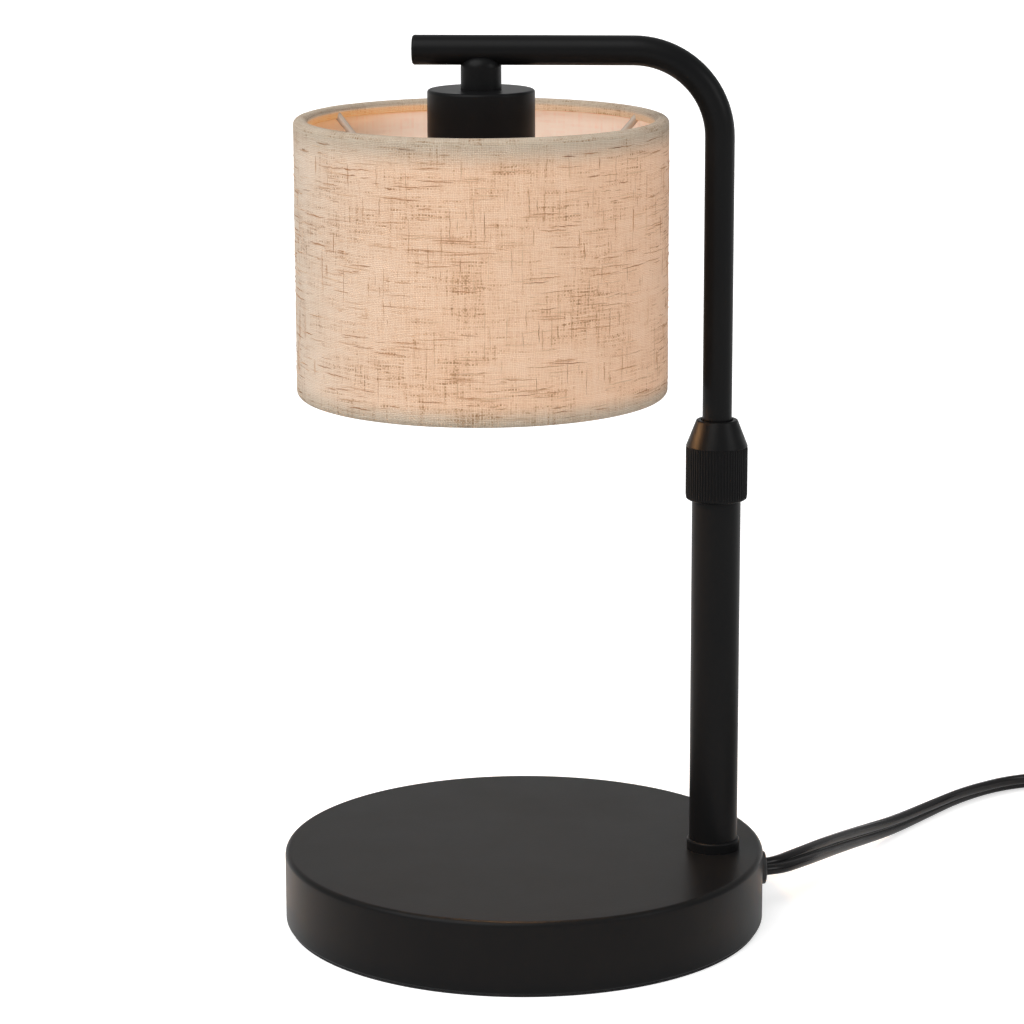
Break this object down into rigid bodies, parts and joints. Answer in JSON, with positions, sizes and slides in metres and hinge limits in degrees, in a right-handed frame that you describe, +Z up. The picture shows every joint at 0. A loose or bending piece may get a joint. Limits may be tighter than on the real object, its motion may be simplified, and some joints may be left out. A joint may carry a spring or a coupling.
{
  "type": "candle warmer lamp",
  "caption": "Table lamp that warms a jar candle from above: round weighted base, telescoping post, bent swing arm, linen drum shade and a dimmer on the lead.",
  "frame": {"origin": "centre of the round base on the table top", "axes": "+Z up along the post, +X from the base's centre towards the post, +Y to the side away from the lead's plug"},
  "size_m": [0.3357, 0.2282, 0.277],
  "materials": {
    "black_powder_coat": "fine satin powder coat",
    "zinc_steel": "bright zinc plate",
    "ballast_iron": "raw cast",
    "foot_felt": "matte closed-cell foam",
    "black_plastic": "fine moulded grain",
    "wheel_plastic": "ribbed, fine matte",
    "lead_pvc": "glossy flexible jacket",
    "plug_pvc": "moulded, half gloss",
    "tie_strap": "woven hook-and-loop",
    "contact_brass": "stamped",
    "natural_nylon": "natural nylon",
    "core_sleeve": "braided silicone-coated sleeving",
    "holder_plastic": "heat-resistant moulded",
    "white_ceramic": "glazed ceramic",
    "bulb_reflector_glass": "aluminised inside",
    "bulb_clear_glass": "clear, lightly stippled",
    "shade_linen": "slubbed linen weave",
    "shade_parchment": "translucent laminate",
    "white_wire": "off-white epoxy coat",
    "circuit_board": "solder mask"
  },
  "bodies": {
    "base": {"foot_pad": "foot_felt", "bottom_plate": "zinc_steel", "bottom_screws": "zinc_steel", "ballast_disc": "ballast_iron", "base_standoffs": "zinc_steel", "base_shell": "black_powder_coat", "cord_bushing": "black_plastic", "post_foot_ring": "black_powder_coat", "lower_tube": "black_powder_coat", "post_plug": "zinc_steel", "post_nipple": "zinc_steel", "post_washer": "zinc_steel", "post_nut": "zinc_steel", "collet": "natural_nylon", "terminal_block": "natural_nylon", "terminal_screws": "zinc_steel", "lead_inlet": "core_sleeve", "lead_riser": "core_sleeve", "lead_slack": "core_sleeve", "cord_lead": "lead_pvc", "cord_link": "lead_pvc", "cord_coil": "lead_pvc", "cord_tie": "tie_strap", "cord_end": "lead_pvc", "dimmer_bottom": "black_plastic", "dimmer_top": "black_plastic", "dimmer_board": "circuit_board", "dimmer_pot": "natural_nylon", "dimmer_screws": "zinc_steel", "plug_body": "plug_pvc", "plug_blades": "contact_brass"},
    "collar": {"clamp_collar": "black_powder_coat"},
    "carriage": {"guide_bush": "natural_nylon"},
    "arm": {"snap_rings": "zinc_steel", "arm_tube": "black_powder_coat", "arm_end_cap": "black_powder_coat", "arm_lead": "core_sleeve", "socket_stem": "black_powder_coat", "socket_cup": "black_powder_coat", "stem_nut": "zinc_steel", "holder_sleeve": "holder_plastic", "lamp_holder": "white_ceramic", "holder_screws": "zinc_steel", "holder_contacts": "contact_brass", "shade_fabric": "shade_linen", "shade_liner": "shade_parchment", "shade_spider": "white_wire", "shade_bottom_ring": "white_wire", "shade_ring_nut": "holder_plastic"},
    "bulb": {"bulb_cap": "white_ceramic", "bulb_pins": "zinc_steel", "bulb_reflector": "bulb_reflector_glass", "bulb_lens": "bulb_clear_glass", "bulb_capsule": "bulb_clear_glass"},
    "dimmer_wheel": {"dimmer_wheel": "wheel_plastic"}
  },
  "joints": [
    {"name": "height_slide", "type": "slide", "parent": "base", "child": "carriage", "axis": [0, 0, 1], "range_m": [-0.05, 0.019], "deforming": ["lead_slack"]},
    {"name": "arm_swivel", "type": "hinge", "parent": "carriage", "child": "arm", "pos_m": [0.0593, 0, 0.1083], "axis": [0, 0, 1], "range_deg": [-175, 175]},
    {"name": "collar_turn", "type": "hinge", "parent": "base", "child": "collar", "pos_m": [0.0593, 0, 0.149], "axis": [0, 0, 1], "range_deg": [0, 270]},
    {"name": "bulb_twist", "type": "hinge", "parent": "arm", "child": "bulb", "pos_m": [-0.0125, 0, 0.2232], "axis": [0, 0, 1], "range_deg": [-25, 0]},
    {"name": "dimmer_wheel_turn", "type": "hinge", "parent": "base", "child": "dimmer_wheel", "pos_m": [0.22803, 0.07934, 0.0116], "axis": [0.9567, 0.2912, 0], "range_deg": [0, 270]}
  ]
}
